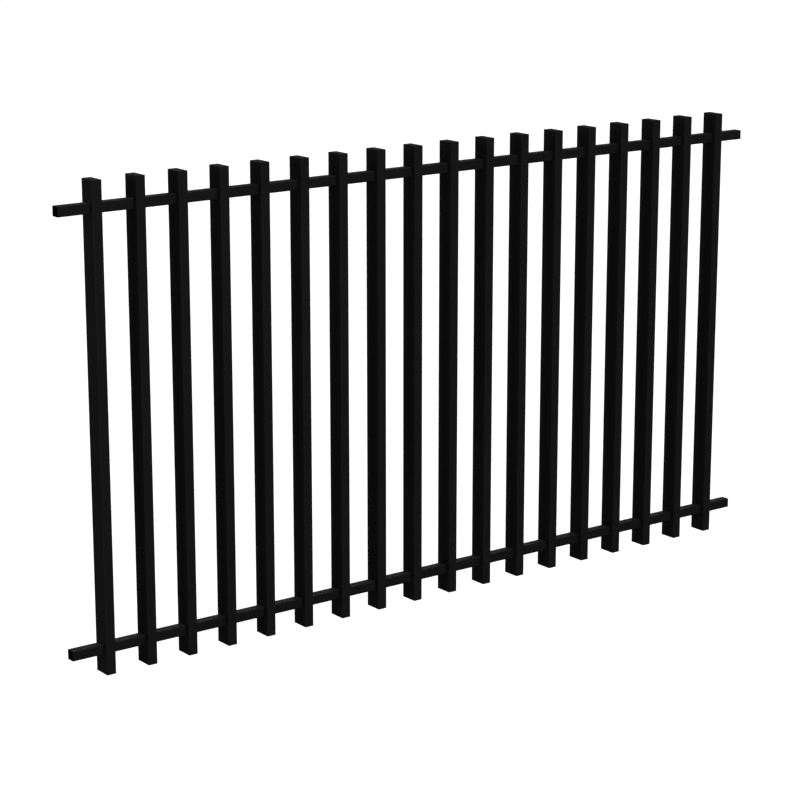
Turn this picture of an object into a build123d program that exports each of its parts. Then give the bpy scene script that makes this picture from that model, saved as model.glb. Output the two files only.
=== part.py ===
from build123d import *
from math import sqrt
import os

# Metal fence panel: upright box-section battens, punched through their sides and threaded on two
# square rails, with a plug-in cap in each end of each batten.
#
# X runs along the rails to the viewer's right, Y runs away from the viewer and Z is up. The origin
# is the centre of the lower rail's left end face, which meets the post or bracket that holds the
# panel. Lengths are in millimetres.

# Battens, with the narrow face to the front
batten_count = 18
batten_pitch = 115.6
batten_width = 25.0
batten_depth = 50.0
batten_height = 1200.0  # from the foot of the lower cap to the top of the upper cap
batten_wall = 1.2
batten_corner = 1.2

# Rails, open at both ends
rail_depth = 25.0
rail_height = 25.0
rail_wall = 1.6
rail_corner = 1.2
rail_bore_corner = 0.4
rail_overhang = 84.5  # past the outer face of the first and the last batten
lower_rail_rise = 50.4  # from the foot of the battens to the underside of the lower rail
upper_rail_drop = 54.2  # from the top of the battens to the top of the upper rail
punch_clearance = 0.25  # all round a rail, in the holes punched for it

# Caps, each a lid as wide as the batten with a hollow plug that fits its bore. Upright ribs on
# the plug take up its clearance and grip the bore.
cap_thickness = 2.4
cap_edge_bevel = 0.6
plug_length = 14.0
plug_wall = 1.4
plug_clearance = 0.15
plug_lead_in = 0.5
rib_width = 1.2
rib_length = 11.0
rib_spacing = 26.0  # between the two ribs on each wide side of the plug

# Worked out from the sizes above
rail_length = (batten_count - 1) * batten_pitch + batten_width + 2 * rail_overhang
batten_foot = -lower_rail_rise - rail_height / 2
batten_top = batten_foot + batten_height
upper_rail_axis = batten_top - upper_rail_drop - rail_height / 2
tube_foot = batten_foot + cap_thickness
tube_length = batten_height - 2 * cap_thickness
bore_width = batten_width - 2 * batten_wall
bore_depth = batten_depth - 2 * batten_wall


def along_rail(height):
    """The plane of a rail's left end face, with its normal along the rail."""
    return Plane(origin=(0, 0, height), x_dir=(0, 1, 0), z_dir=(1, 0, 0))


def make_rail(height):
    """A square tube from the left end face to the right one, with its axis at this height."""
    outside = RectangleRounded(rail_depth, rail_height, rail_corner)
    bore = RectangleRounded(rail_depth - 2 * rail_wall, rail_height - 2 * rail_wall, rail_bore_corner)
    return extrude(along_rail(height) * (outside - bore), rail_length)


def flat_cornered(width, depth, corner):
    """A rectangle with its corners cut flat, so that each cut touches a round of this radius."""
    outline = Rectangle(width, depth)
    return chamfer(outline.vertices(), corner * (2 - sqrt(2)))


def make_punch(height):
    """What the punched holes for one rail take out of every batten."""
    hole = flat_cornered(
        rail_depth + 2 * punch_clearance,
        rail_height + 2 * punch_clearance,
        rail_corner + punch_clearance,
    )
    return extrude(along_rail(height) * hole, rail_length)


def make_batten():
    """One batten about X = 0: a box section with a hole for each rail through both of its sides."""
    outside = RectangleRounded(batten_width, batten_depth, batten_corner)
    bore = Rectangle(bore_width, bore_depth)
    tube = extrude(Plane.XY.offset(tube_foot) * (outside - bore), tube_length)
    for height in (0, upper_rail_axis):
        tube -= Pos(-rail_length / 2, 0, 0) * make_punch(height)
    return tube


def make_plug():
    """The hollow plug of a cap, which hangs from the plane Z = 0 into the bore of a batten."""
    plug_width = bore_width - 2 * plug_clearance
    plug_depth = bore_depth - 2 * plug_clearance
    plug = extrude(Rectangle(plug_width, plug_depth), -plug_length)
    plug = chamfer(plug.edges().group_by(Axis.Z)[0], plug_lead_in)
    across_width = Rectangle(bore_width, rib_width)
    across_depth = Rectangle(rib_width, bore_depth)
    ribs = across_depth + [Pos(0, side * rib_spacing / 2) * across_width for side in (-1, 1)]
    hollow = Rectangle(plug_width - 2 * plug_wall, plug_depth - 2 * plug_wall)
    return plug + extrude(ribs, -rib_length) - extrude(hollow, -plug_length)


def make_cap():
    """A cap seen the right way up for the top of a batten, seated on the plane Z = 0."""
    lid = extrude(flat_cornered(batten_width, batten_depth, batten_corner), cap_thickness)
    lid = chamfer(lid.edges().group_by(Axis.Z)[-1], cap_edge_bevel)
    return lid + make_plug()


def write_node(name, shape):
    """One STEP file for one named piece, or for one named set of like pieces."""
    shape.label = name
    export_step(shape, f"parts/{name}.step")


def main():
    os.makedirs("parts", exist_ok=True)
    first_batten = rail_overhang + batten_width / 2
    places = [first_batten + index * batten_pitch for index in range(batten_count)]

    write_node("rail_lower", make_rail(0))
    write_node("rail_upper", make_rail(upper_rail_axis))

    batten = make_batten()
    for number, place in enumerate(places, start=1):
        write_node(f"batten_{number:02d}", Pos(place, 0, 0) * batten)

    upper_cap = Pos(0, 0, tube_foot + tube_length) * make_cap()
    lower_cap = Pos(0, 0, tube_foot) * Rot(180, 0, 0) * make_cap()
    write_node("caps_upper", Compound([Pos(place, 0, 0) * upper_cap for place in places]))
    write_node("caps_lower", Compound([Pos(place, 0, 0) * lower_cap for place in places]))
    print(f"rail length {rail_length:.1f}, battens from {batten_foot:.1f} to {batten_top:.1f}")


main()
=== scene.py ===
# %% [markdown]
# # A batten fence panel in black powder coat
# The panel is a plain but exact thing: upright box sections threaded on two square rails. The
# frame file already holds those pieces at their real size, so this script gives them their
# finish, adds the small welds that hold them together, and sets up the light and the camera.

import math
import random

import bmesh
import bpy
from mathutils import Matrix, Vector


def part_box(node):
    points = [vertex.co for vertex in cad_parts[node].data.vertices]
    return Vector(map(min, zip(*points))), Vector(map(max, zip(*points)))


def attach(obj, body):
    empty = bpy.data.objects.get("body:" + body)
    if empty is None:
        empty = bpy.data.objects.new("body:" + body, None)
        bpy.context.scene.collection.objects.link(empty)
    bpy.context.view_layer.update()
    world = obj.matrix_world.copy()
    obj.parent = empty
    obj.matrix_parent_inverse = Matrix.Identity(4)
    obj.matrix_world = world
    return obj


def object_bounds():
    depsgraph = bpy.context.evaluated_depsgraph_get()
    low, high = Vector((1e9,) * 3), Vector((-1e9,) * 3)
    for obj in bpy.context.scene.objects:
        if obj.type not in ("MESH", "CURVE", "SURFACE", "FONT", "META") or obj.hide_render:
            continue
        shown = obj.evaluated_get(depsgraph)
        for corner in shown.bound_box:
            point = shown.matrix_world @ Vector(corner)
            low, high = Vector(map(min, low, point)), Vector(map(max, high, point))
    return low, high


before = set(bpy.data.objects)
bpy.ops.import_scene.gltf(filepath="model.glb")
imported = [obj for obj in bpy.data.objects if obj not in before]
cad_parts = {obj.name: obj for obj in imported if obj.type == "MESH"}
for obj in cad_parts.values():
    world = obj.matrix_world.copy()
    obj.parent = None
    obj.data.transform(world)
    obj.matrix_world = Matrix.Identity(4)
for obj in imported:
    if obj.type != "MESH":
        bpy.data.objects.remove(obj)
cad_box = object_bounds()
print("the panel's box, in metres:", cad_box)

# %% [markdown]
# Sizes are easier to read in millimetres, as on a drawing, while Blender works in metres. Colours
# are easier to pick as the hex values of a screen, while a shader adds light in a linear scale.
# One small helper does each change, and a third adds a shader node with its settings and links.

# %% Helpers for sizes, colours and nodes
MM = 0.001


def linear(hex_colour):
    """The linear RGBA of an sRGB hex colour such as #1a1a1b."""
    channels = [int(hex_colour[i : i + 2], 16) / 255 for i in (1, 3, 5)]
    return [c / 12.92 if c <= 0.04045 else ((c + 0.055) / 1.055) ** 2.4 for c in channels] + [1.0]


def add_node(tree, kind, inputs=None, **settings):
    """A new node. A value in inputs is either a plain value or another node's output socket."""
    node = tree.nodes.new(kind)
    for name, value in settings.items():
        setattr(node, name, value)
    for name, value in (inputs or {}).items():
        if isinstance(value, bpy.types.NodeSocket):
            tree.links.new(value, node.inputs[name])
        else:
            node.inputs[name].default_value = value
    return node


def new_material(name):
    """An empty material, its node tree and its output node."""
    material = bpy.data.materials.new(name)
    material.use_nodes = True
    material.node_tree.nodes.clear()
    return material, material.node_tree, material.node_tree.nodes.new("ShaderNodeOutputMaterial")


# %% [markdown]
# **Powder coat.** Polyester powder is sprayed on the aluminium dry and baked at about 180 degrees
# until it flows together. It never flows quite flat: it keeps a soft orange peel a millimetre or
# two across, and a matting agent leaves a much finer grain on top, which spreads every
# reflection. A black one reads as nearly no colour with a low, wide sheen. Two noise textures of
# those sizes give the bump, and a third, much larger one shifts the sheen and the tint a little,
# as a spray gun's passes do. The two fine ones keep their real sizes. From across a garden they
# only soften the sheen, as the real ones do, and they show close up.

# %% The powder coat
PEEL_SIZE = 1.8 * MM
PEEL_HEIGHT = 0.012 * MM
GRAIN_SIZE = 0.35 * MM
GRAIN_HEIGHT = 0.004 * MM
SPRAY_SIZE = 90 * MM
COAT_TINTS = ("#131314", "#151516")
COAT_ROUGHNESS = (0.46, 0.50)
COMMON_NOISE = (0.3, 0.7)  # where most values of a noise texture lie


def powder_coat():
    """Satin black polyester powder coat: deep colour, low broad sheen and soft orange peel."""
    material, tree, output = new_material("powder_coat_satin_black")
    place = add_node(tree, "ShaderNodeTexCoord").outputs["Object"]
    spray = add_node(
        tree,
        "ShaderNodeTexNoise",
        {"Vector": place, "Scale": 1 / SPRAY_SIZE, "Detail": 2.0},
    )
    peel = add_node(
        tree,
        "ShaderNodeTexNoise",
        {"Vector": place, "Scale": 1 / PEEL_SIZE, "Detail": 1.0},
    )
    grain = add_node(
        tree,
        "ShaderNodeTexNoise",
        {"Vector": place, "Scale": 1 / GRAIN_SIZE, "Detail": 2.0},
    )
    tint = add_node(
        tree,
        "ShaderNodeMix",
        {
            "Factor": spray.outputs["Fac"],
            "A": linear(COAT_TINTS[0]),
            "B": linear(COAT_TINTS[1]),
        },
        data_type="RGBA",
    )
    sheen = add_node(
        tree,
        "ShaderNodeMapRange",
        {
            "Value": spray.outputs["Fac"],
            "From Min": COMMON_NOISE[0],
            "From Max": COMMON_NOISE[1],
            "To Min": COAT_ROUGHNESS[0],
            "To Max": COAT_ROUGHNESS[1],
        },
    )
    soft = add_node(
        tree,
        "ShaderNodeBump",
        {"Height": peel.outputs["Fac"], "Strength": 1.0, "Distance": PEEL_HEIGHT},
    )
    fine = add_node(
        tree,
        "ShaderNodeBump",
        {
            "Height": grain.outputs["Fac"],
            "Strength": 1.0,
            "Distance": GRAIN_HEIGHT,
            "Normal": soft.outputs["Normal"],
        },
    )
    shader = add_node(
        tree,
        "ShaderNodeBsdfPrincipled",
        {
            "Base Color": tint.outputs["Result"],
            "Roughness": sheen.outputs["Result"],
            "Specular IOR Level": 0.5,
            "Normal": fine.outputs["Normal"],
        },
    )
    tree.links.new(shader.outputs["BSDF"], output.inputs["Surface"])
    return material


coat = powder_coat()
print("made", coat.name)

# %% [markdown]
# **Cap plastic.** The caps are moulded in black polyethylene. The mould is spark-eroded, so the
# lids have an even matt grain a little coarser than the coat's, and no orange peel. They are
# duller than the coat, so a cap shows where the light rakes over a batten's top.

# %% The cap plastic
SPARK_SIZE = 0.5 * MM
SPARK_HEIGHT = 0.010 * MM
CAP_TINTS = ("#111112", "#141415")
CAP_ROUGHNESS = 0.72
CAP_SPECULAR = 0.30


def cap_plastic():
    """Moulded black polyethylene with a spark-eroded grain."""
    material, tree, output = new_material("polyethylene_moulded_black")
    place = add_node(tree, "ShaderNodeTexCoord").outputs["Object"]
    spark = add_node(
        tree,
        "ShaderNodeTexNoise",
        {"Vector": place, "Scale": 1 / SPARK_SIZE, "Detail": 2.0},
    )
    tint = add_node(
        tree,
        "ShaderNodeMix",
        {"Factor": spark.outputs["Fac"], "A": linear(CAP_TINTS[0]), "B": linear(CAP_TINTS[1])},
        data_type="RGBA",
    )
    bump = add_node(
        tree,
        "ShaderNodeBump",
        {"Height": spark.outputs["Fac"], "Strength": 1.0, "Distance": SPARK_HEIGHT},
    )
    shader = add_node(
        tree,
        "ShaderNodeBsdfPrincipled",
        {
            "Base Color": tint.outputs["Result"],
            "Roughness": CAP_ROUGHNESS,
            "Specular IOR Level": CAP_SPECULAR,
            "Normal": bump.outputs["Normal"],
        },
    )
    tree.links.new(shader.outputs["BSDF"], output.inputs["Surface"])
    return material


plastic = cap_plastic()
print("made", plastic.name)

# %% Dress the pieces of the frame
for name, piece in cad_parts.items():
    finish = plastic if name.startswith("caps") else coat
    piece.data.materials.clear()
    piece.data.materials.append(finish)
print(len(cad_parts), "pieces dressed")

# %% [markdown]
# **The welds.** Each hole in a batten is punched a quarter of a millimetre larger than the rail all
# round, so that the battens slide on. Short weld beads then hold them. They run where the rail
# leaves the side of a batten, underneath and at the back, so that nobody sees them from the front
# or from above. A bead is a row of small puddles, each laid half over the last one, so it is
# rippled and ends round.
#
# A curve with a bevel could make one, but its ripples would need a second curve. Here the corner
# that a bead fills is drawn once, as a quarter of a squashed disc, and then extruded a third of a
# puddle at a time. Each new ring is scaled about the corner, which gives the ripples and the round
# ends. An extrusion leaves the face that it started from where it was. The first one closes the
# bead, and the others would be walls inside it, so they are deleted.

# %% One weld bead
BEAD_RADIUS = 4.2 * MM  # of the disc, which then meets each face 3 mm from the corner
BEAD_SQUASH = 0.62  # across the corner, for a nearly flat face between the two walls
BEAD_SINK = 0.3 * MM  # into both walls, so that no line of light shows under it
BEAD_SIDES = 16  # of the whole disc
END_LOSS = 0.85  # of a ring's area, at the two ends of a bead
END_POWER = 5  # the higher, the shorter the round ends
PUDDLES = 7
PUDDLE_STEP = 2.5 * MM
PUDDLE_SHAPE = (0.88, 0.98, 1.0)  # sizes of the rings of a puddle, from the valley before it
LAST_RING = PUDDLES * len(PUDDLE_SHAPE)


def bead_size(ring):
    """How large a ring is: round at both ends, and smaller between two puddles."""
    along = 2 * ring / LAST_RING - 1
    swell = PUDDLE_SHAPE[ring % len(PUDDLE_SHAPE)]
    return swell * math.sqrt(1 - END_LOSS * abs(along) ** END_POWER)


def weld_bead():
    """A bead along Z that fills the corner between the planes X = 0 and Y = 0."""
    bm = bmesh.new()
    bmesh.ops.create_circle(bm, cap_ends=True, segments=BEAD_SIDES, radius=BEAD_RADIUS)
    across = Matrix.Rotation(math.radians(-45), 4, "Z")
    bmesh.ops.scale(bm, verts=bm.verts, vec=(BEAD_SQUASH, 1, 1), space=across)
    for normal in (Vector((1, 0, 0)), Vector((0, 1, 0))):
        everything = bm.verts[:] + bm.edges[:] + bm.faces[:]
        bmesh.ops.bisect_plane(
            bm, geom=everything, plane_co=-BEAD_SINK * normal, plane_no=normal, clear_inner=True
        )
    bmesh.ops.translate(bm, verts=bm.verts, vec=(0, 0, -PUDDLES * PUDDLE_STEP / 2))
    bmesh.ops.scale(bm, verts=bm.verts, vec=(bead_size(0), bead_size(0), 1))
    end = bm.faces[:]
    for ring in range(1, LAST_RING + 1):
        grown = bmesh.ops.extrude_face_region(bm, geom=end)["geom"]
        if ring > 1:
            bmesh.ops.delete(bm, geom=end, context="FACES_ONLY")
        verts = [part for part in grown if isinstance(part, bmesh.types.BMVert)]
        end = [part for part in grown if isinstance(part, bmesh.types.BMFace)]
        change = bead_size(ring) / bead_size(ring - 1)
        bmesh.ops.scale(bm, verts=verts, vec=(change, change, 1))
        bmesh.ops.translate(bm, verts=verts, vec=(0, 0, PUDDLE_STEP / len(PUDDLE_SHAPE)))
    bmesh.ops.recalc_face_normals(bm, faces=bm.faces)
    for face in bm.faces:
        face.smooth = True
    open_edges = [edge for edge in bm.edges if not edge.is_manifold]
    print("a bead has", len(bm.faces), "faces and", len(open_edges), "open edges")
    mesh = bpy.data.meshes.new("weld_bead")
    bm.to_mesh(mesh)
    bm.free()
    return mesh


bead = weld_bead()

# %% [markdown]
# Every batten gets four beads on each rail: left and right of it, at the back and underneath. A
# matrix whose columns are the three directions of a bead puts a copy in its corner. A hand that
# welds is never quite even, so each bead is a little longer or thicker than the next. The places
# come from the pieces of the frame, so they follow any change of its sizes.

# %% Weld the battens to the rails
HAND = random.Random(18)
HAND_LENGTH = 0.10
HAND_THICKNESS = 0.12


def bead_place(corner, outward, face, along):
    """Where a bead goes: out from the batten's side, out from the rail's face and along both."""
    thick = 1 + HAND.uniform(-HAND_THICKNESS, HAND_THICKNESS)
    long = 1 + HAND.uniform(-HAND_LENGTH, HAND_LENGTH)
    turn = Matrix((outward * thick, face * thick, along * long)).transposed()
    return Matrix.Translation(corner) @ turn.to_4x4()


def weld(rail_name):
    """All the beads on one rail, as one piece."""
    low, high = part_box(rail_name)
    middle = (low + high) / 2
    back, down = Vector((0, 1, 0)), Vector((0, 0, -1))
    bm = bmesh.new()
    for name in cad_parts:
        if not name.startswith("batten"):
            continue
        left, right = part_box(name)
        for side, outward in ((left.x, Vector((-1, 0, 0))), (right.x, Vector((1, 0, 0)))):
            at_back = Vector((side, high.y, middle.z))
            beneath = Vector((side, middle.y, low.z))
            places = (
                bead_place(at_back, outward, back, down),
                bead_place(beneath, outward, down, back),
            )
            for place in places:
                first = len(bm.verts)
                bm.from_mesh(bead)
                bm.verts.ensure_lookup_table()
                bmesh.ops.transform(bm, matrix=place, verts=bm.verts[first:])
    bmesh.ops.recalc_face_normals(bm, faces=bm.faces)
    mesh = bpy.data.meshes.new("welds_" + rail_name)
    bm.to_mesh(mesh)
    bm.free()
    mesh.materials.append(coat)
    piece = bpy.data.objects.new("welds_" + rail_name, mesh)
    bpy.context.collection.objects.link(piece)
    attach(piece, "root")
    print(piece.name, "has", len(mesh.polygons), "faces")


for rail_name in ("rail_lower", "rail_upper"):
    weld(rail_name)

# %% [markdown]
# **The room.** The panel hangs in an even white studio, as it would from the posts that carry it,
# with a pale floor well below its feet. Light and background are kept apart: the world is a
# modest grey as a source of light, and plain white where the camera, a reflection or a see-through
# ray looks at it. The Light Path node tells which kind of ray is asking.

# %% The white background
AMBIENT = 0.265
WHITE = linear("#ffffff")


def seen_directly(tree):
    """1 for a ray from the camera, a reflection or glass, and 0 for one that gathers light."""
    path = add_node(tree, "ShaderNodeLightPath").outputs
    seen = add_node(
        tree,
        "ShaderNodeMath",
        {0: path["Is Camera Ray"], 1: path["Is Glossy Ray"]},
        operation="MAXIMUM",
    )
    return add_node(
        tree,
        "ShaderNodeMath",
        {0: seen.outputs[0], 1: path["Is Transmission Ray"]},
        operation="MAXIMUM",
    ).outputs[0]


def white_world():
    """A world that gives AMBIENT light and is seen as plain white."""
    world = bpy.data.worlds.new("studio")
    world.use_nodes = True
    tree = world.node_tree
    tree.nodes.clear()
    light = add_node(tree, "ShaderNodeBackground", {"Color": WHITE, "Strength": AMBIENT})
    white = add_node(tree, "ShaderNodeBackground", {"Color": WHITE, "Strength": 1.0})
    mix = add_node(
        tree,
        "ShaderNodeMixShader",
        {0: seen_directly(tree), 1: light.outputs[0], 2: white.outputs[0]},
    )
    add_node(tree, "ShaderNodeOutputWorld", {"Surface": mix.outputs[0]})
    world.cycles.sampling_method = "NONE"
    bpy.context.scene.world = world


white_world()
print("the world lights with", AMBIENT, "and is seen as white")

# %% The floor
FLOOR_SIZE = 60.0
FLOOR_DROP = 1.6  # below the feet of the battens
FLOOR_COLOUR = "#c0c0c0"
FLOOR_GLOW = 0.85  # lifts the lit floor to white, and leaves the deepest shadow just short of it


def new_stage(name, bm, material):
    """An object of the studio, which is not part of the panel, made from a finished bmesh."""
    mesh = bpy.data.meshes.new(name)
    bm.to_mesh(mesh)
    bm.free()
    mesh.materials.append(material)
    piece = bpy.data.objects.new(name, mesh)
    bpy.context.collection.objects.link(piece)
    return piece


def white_floor(height):
    """A wide pale floor that is seen as white, and that is see-through from below."""
    material, tree, output = new_material("studio_floor_white")
    matt = add_node(tree, "ShaderNodeBsdfDiffuse", {"Color": linear(FLOOR_COLOUR)})
    glow = add_node(tree, "ShaderNodeEmission", {"Color": WHITE, "Strength": FLOOR_GLOW})
    both = add_node(tree, "ShaderNodeAddShader", {0: matt.outputs[0], 1: glow.outputs[0]})
    mix = add_node(
        tree,
        "ShaderNodeMixShader",
        {0: seen_directly(tree), 1: matt.outputs[0], 2: both.outputs[0]},
    )
    clear = add_node(tree, "ShaderNodeBsdfTransparent")
    underside = add_node(tree, "ShaderNodeNewGeometry").outputs["Backfacing"]
    floor = add_node(
        tree,
        "ShaderNodeMixShader",
        {0: underside, 1: mix.outputs[0], 2: clear.outputs[0]},
    )
    tree.links.new(floor.outputs[0], output.inputs["Surface"])
    bm = bmesh.new()
    bmesh.ops.create_grid(bm, x_segments=1, y_segments=1, size=FLOOR_SIZE / 2)
    bmesh.ops.translate(bm, verts=bm.verts, vec=(0, 0, height))
    new_stage("floor", bm, material)
    print("the floor is at", round(height, 3), "m")


white_floor(cad_box[0][2] - FLOOR_DROP)

# %% [markdown]
# **The black drape.** A black object in a white room mirrors the room and looks grey. So whoever
# photographs one hangs black cloth just out of the picture, on every side that the surface
# reflects. One hollow ball does that here. Its visibility flags leave it to reflections alone, so
# it hides no background and stops no light, and its faint glow gives the coat its low sheen.

# %% The drape
DRAPE_RADIUS = 1.45
DRAPE_ROUNDS = 4  # of subdivision, which make the ball round enough
DRAPE_GLOW = 0.018


def black_drape(centre):
    """Black cloth all round the panel, which only reflections see."""
    material, tree, output = new_material("studio_drape_black")
    glow = add_node(tree, "ShaderNodeEmission", {"Color": WHITE, "Strength": DRAPE_GLOW})
    tree.links.new(glow.outputs[0], output.inputs["Surface"])
    bm = bmesh.new()
    bmesh.ops.create_icosphere(bm, subdivisions=DRAPE_ROUNDS, radius=DRAPE_RADIUS)
    bmesh.ops.translate(bm, verts=bm.verts, vec=centre)
    drape = new_stage("drape", bm, material)
    drape.visible_camera = False
    drape.visible_diffuse = False
    drape.visible_transmission = False
    drape.visible_volume_scatter = False
    drape.visible_shadow = False
    print("the drape hangs", DRAPE_RADIUS, "m from the middle of the panel")


middle = (Vector(cad_box[0]) + Vector(cad_box[1])) / 2
black_drape(middle)

# %% [markdown]
# **The lamps.** Each lamp is a sun, so it lights the long panel evenly from end to end, and most
# have an angle as wide as a large softbox close by. The first stands high in front and is the main
# light. The next two come level from the left and the right, so they reach the outer side of the
# end battens and hardly the others, which stand in each other's shade. The fourth is a narrow one
# behind the panel: it lights the back as the first lights the front, and slips past all the sides.
# It stands a little above level, because a level one glares along the sides at whoever looks from
# the front. The last comes from high behind on the right, and puts a sheen on the tops of the
# battens and rails for who looks from the front left.
#
# Cycles can find a lamp in two ways: by aiming at it, or by a reflected ray that happens to hit
# it. The drape catches all reflected rays, so the second way is switched off here. With it left
# on, Cycles would wait for light that never comes and show too little sheen.

# %% The lamps
SUNS = {
    "front_high": {"turn": 0, "height": 45, "spread": 40, "share": 0.44},
    "left_level": {"turn": 90, "height": 0, "spread": 30, "share": 0.21},
    "right_level": {"turn": -90, "height": 0, "spread": 30, "share": 0.10},
    "back_raised": {"turn": 180, "height": 12, "spread": 3, "share": 0.205},
    "back_high": {"turn": -140, "height": 45, "spread": 40, "share": 0.052},
}


def add_sun(name, turn, height, spread, share):
    """A sun that stands turn degrees to the left of the front and height degrees up.

    A share of 1 lights a matt surface that faces it to the brightness of its own colour.
    """
    data = bpy.data.lights.new(name, "SUN")
    data.energy = share * math.pi
    data.angle = math.radians(spread)
    data.cycles.use_multiple_importance_sampling = False
    lamp = bpy.data.objects.new(name, data)
    bpy.context.collection.objects.link(lamp)
    level = math.cos(math.radians(height))
    side, up = math.radians(turn), math.sin(math.radians(height))
    towards = Vector((-level * math.sin(side), -level * math.cos(side), up))
    lamp.rotation_euler = towards.to_track_quat("Z", "Y").to_euler()


for name, values in SUNS.items():
    add_sun(name, **values)
print(len(SUNS), "lamps")

# %% [markdown]
# **The camera.** The panel was seen from its left and from above its top through a long lens. The
# camera is set by the point that it aims at on the battens' fronts, its distance from there and
# its two angles, and its field of view is the photograph's.

# %% The camera
AIM = Vector((962.4, -25.0, 488.7)) * MM
DISTANCE = 6193.5 * MM
LEFT_OF_FRONT = math.radians(36.78)
ABOVE_LEVEL = math.radians(14.06)
LENS_MM = 108.92
SENSOR_MM = 36.0


def place_camera():
    """The scene's camera, which looks at AIM and is level from side to side."""
    data = bpy.data.cameras.new("camera")
    data.sensor_fit = "HORIZONTAL"
    data.sensor_width = SENSOR_MM
    data.lens = LENS_MM
    camera = bpy.data.objects.new("camera", data)
    bpy.context.collection.objects.link(camera)
    level, down = math.cos(ABOVE_LEVEL), math.sin(ABOVE_LEVEL)
    right, away = math.sin(LEFT_OF_FRONT), math.cos(LEFT_OF_FRONT)
    forward = Vector((level * right, level * away, -down))
    camera.location = AIM - DISTANCE * forward
    camera.rotation_euler = forward.to_track_quat("-Z", "Y").to_euler()
    bpy.context.scene.camera = camera
    print("the camera stands at", [round(value, 3) for value in camera.location])


place_camera()
bpy.context.scene.view_settings.view_transform = "Standard"
